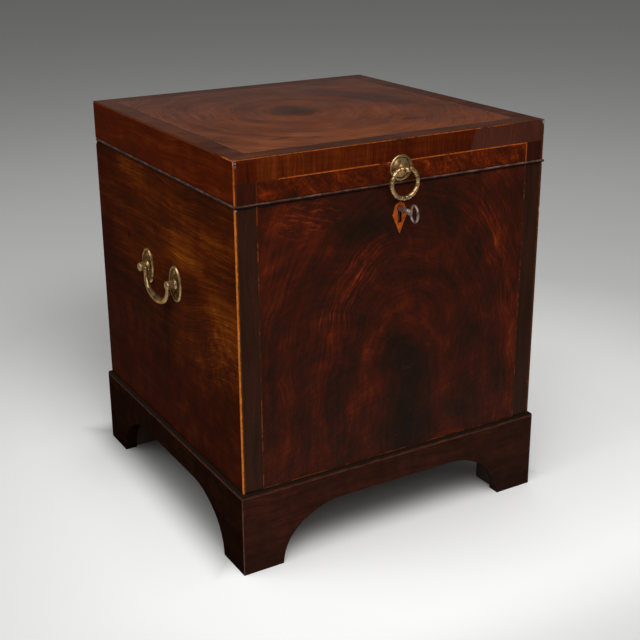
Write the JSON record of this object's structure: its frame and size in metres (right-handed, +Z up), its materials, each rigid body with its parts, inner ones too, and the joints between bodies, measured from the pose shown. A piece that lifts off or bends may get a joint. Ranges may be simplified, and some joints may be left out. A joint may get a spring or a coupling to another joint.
{
  "type": "cellarette",
  "caption": "Square wooden bottle case with a hinged lid, lock and key, ring pull, side carrying handles, bottle dividers and a plinth on bracket feet.",
  "frame": {"origin": "on the floor, under the middle of the box that holds the closed piece with its key in the lock", "axes": "+X to the right seen from the front, +Y to the back, +Z up; the front faces -Y"},
  "size_m": [0.5116, 0.519, 0.56],
  "materials": {
    "mahogany_carcass": "french polished",
    "mahogany_side": "french polished",
    "mahogany_flame": "french polished",
    "mahogany_dark": "french polished",
    "mahogany_lid": "french polished",
    "mahogany_plinth": "french polished",
    "oak": "dry, unpolished",
    "boxwood": "french polished",
    "brass": "aged",
    "steel": "worn, grey-brown"
  },
  "bodies": {
    "carcass": {"front_board": "mahogany_carcass", "back_board": "mahogany_carcass", "left_side_board": "mahogany_side", "right_side_board": "mahogany_side", "bottom_board": "oak", "front_panel_veneer": "mahogany_flame", "front_stiles": "mahogany_dark", "front_stringing": "boxwood", "corner_stringing": "boxwood", "escutcheon": "boxwood", "plinth_front": "mahogany_plinth", "plinth_back": "mahogany_plinth", "plinth_left": "mahogany_plinth", "plinth_right": "mahogany_plinth", "plinth_moulding": "mahogany_plinth", "foot_blocks": "oak", "carcass_screws": "brass", "handle_screws": "brass", "lock_case": "steel", "divider_long_1": "oak", "divider_cross_1": "oak", "divider_long_2": "oak", "divider_cross_2": "oak", "divider_long_3": "oak", "divider_cross_3": "oak", "left_hinge_carcass_leaf": "brass", "left_hinge_pin": "brass", "left_handle_plates": "brass", "left_handle_posts": "brass", "right_hinge_carcass_leaf": "brass", "right_hinge_pin": "brass", "right_handle_plates": "brass", "right_handle_posts": "brass"},
    "lid": {"lid_front_rail": "mahogany_carcass", "lid_back_rail": "mahogany_carcass", "lid_left_rail": "mahogany_lid", "lid_right_rail": "mahogany_lid", "lid_top_board": "oak", "lid_top_veneer": "mahogany_flame", "lid_top_banding": "mahogany_dark", "lid_top_stringing": "boxwood", "lid_front_veneer": "mahogany_flame", "lid_front_band": "mahogany_lid", "lid_front_band_patch": "mahogany_lid", "lid_front_stiles": "mahogany_dark", "lid_front_stringing": "boxwood", "lid_edge_stringing": "boxwood", "lid_bead": "mahogany_dark", "lid_screws": "brass", "left_hinge_lid_leaf": "brass", "right_hinge_lid_leaf": "brass", "link_plate": "steel", "ring_backplate": "brass", "ring_post": "brass", "ring_nut": "brass"},
    "ring": {"pull_ring": "brass"},
    "left_bail": {"left_handle_bail": "brass"},
    "right_bail": {"right_handle_bail": "brass"},
    "key": {"key": "steel"},
    "bolt": {"lock_bolt": "steel"}
  },
  "joints": [
    {"name": "lid_hinge", "type": "hinge", "parent": "carcass", "child": "lid", "pos_m": [0, 0.2485, 0.5002], "axis": [-1, 0, 0], "range_deg": [0, 95]},
    {"name": "ring_swing", "type": "hinge", "parent": "lid", "child": "ring", "pos_m": [0, -0.2275, 0.5226], "axis": [-1, 0, 0], "range_deg": [-8, 175]},
    {"name": "left_bail_swing", "type": "hinge", "parent": "carcass", "child": "left_bail", "pos_m": [-0.247, 0.0185, 0.352], "axis": [0, 1, 0], "range_deg": [-5, 175]},
    {"name": "right_bail_swing", "type": "hinge", "parent": "carcass", "child": "right_bail", "pos_m": [0.247, 0.0185, 0.352], "axis": [0, -1, 0], "range_deg": [-5, 175]},
    {"name": "key_turn", "type": "hinge", "parent": "carcass", "child": "key", "pos_m": [0, -0.2415, 0.468], "axis": [0, 1, 0], "range_deg": [0, 180]},
    {"name": "bolt_slide", "type": "slide", "parent": "carcass", "child": "bolt", "axis": [1, 0, 0], "range_m": [0, 0.007]}
  ],
  "couplings": [
    {"joint": "bolt_slide", "follows": "key_turn", "m_per_rad": 0.0022282}
  ]
}
